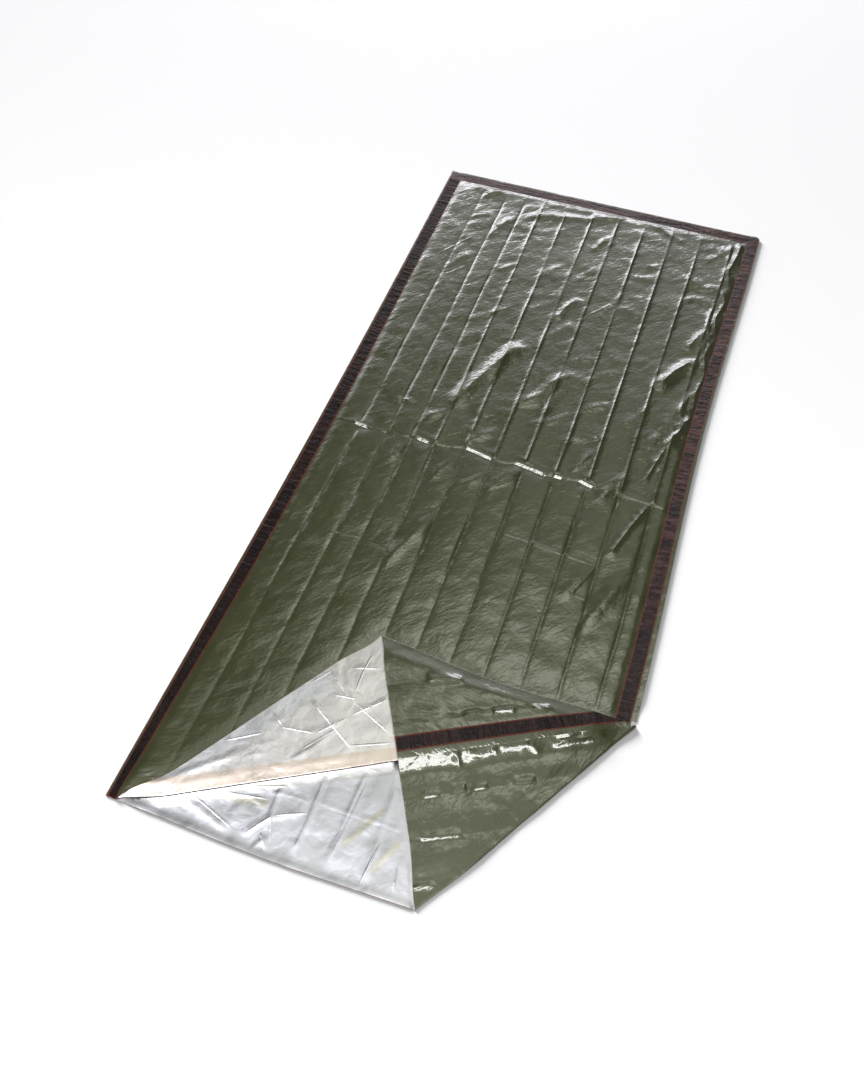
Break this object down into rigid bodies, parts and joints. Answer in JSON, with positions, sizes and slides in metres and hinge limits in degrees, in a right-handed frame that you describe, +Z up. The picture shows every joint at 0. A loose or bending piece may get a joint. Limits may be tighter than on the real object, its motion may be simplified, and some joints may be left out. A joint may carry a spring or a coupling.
{
  "type": "emergency sleeping bag",
  "caption": "Foil film sleeping bag laid flat and empty, closed with tape on three sides, its mouth's corner turned back to show the silver inside.",
  "frame": {"origin": "on the floor, under the middle of the bag as it lies", "axes": "+X across the bag, +Y along it from the mouth to the head end, +Z up from the floor"},
  "size_m": [0.9002, 2.0002, 0.0099],
  "materials": {
    "film": "creased thin film, olive and half glossy outside, bare silver inside",
    "tape": "dark brown adhesive tape, half matte"
  },
  "bodies": {
    "root": {"lower_panel": "film", "upper_panel": "film", "tape_left": "tape", "tape_right": "tape", "tape_head": "tape"}
  },
  "joints": []
}
